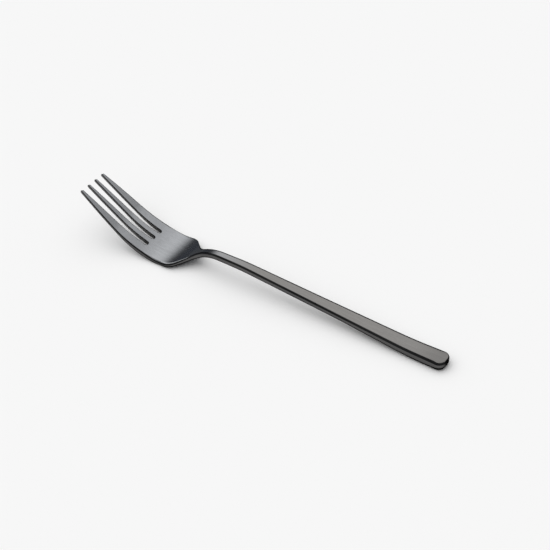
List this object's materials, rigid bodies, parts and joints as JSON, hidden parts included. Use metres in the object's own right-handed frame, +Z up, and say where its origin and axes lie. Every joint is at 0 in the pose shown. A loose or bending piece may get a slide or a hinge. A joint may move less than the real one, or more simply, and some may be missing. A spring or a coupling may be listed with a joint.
{
  "type": "dinner fork",
  "caption": "Slim dinner fork with a curved tined head and a flat tapering bar handle, for lifting and holding food at the table.",
  "frame": {"origin": "on the table under the middle of the fork's bounding box, with the fork lying on its back", "axes": "+X from the end of the handle to the tine tips, +Y across the fork, +Z up from the table"},
  "size_m": [0.2058, 0.0246, 0.024],
  "materials": {
    "coated_steel": "dark gunmetal coating over finely brushed stainless steel"
  },
  "bodies": {
    "root": {"fork_head": "coated_steel", "handle": "coated_steel"}
  },
  "joints": []
}
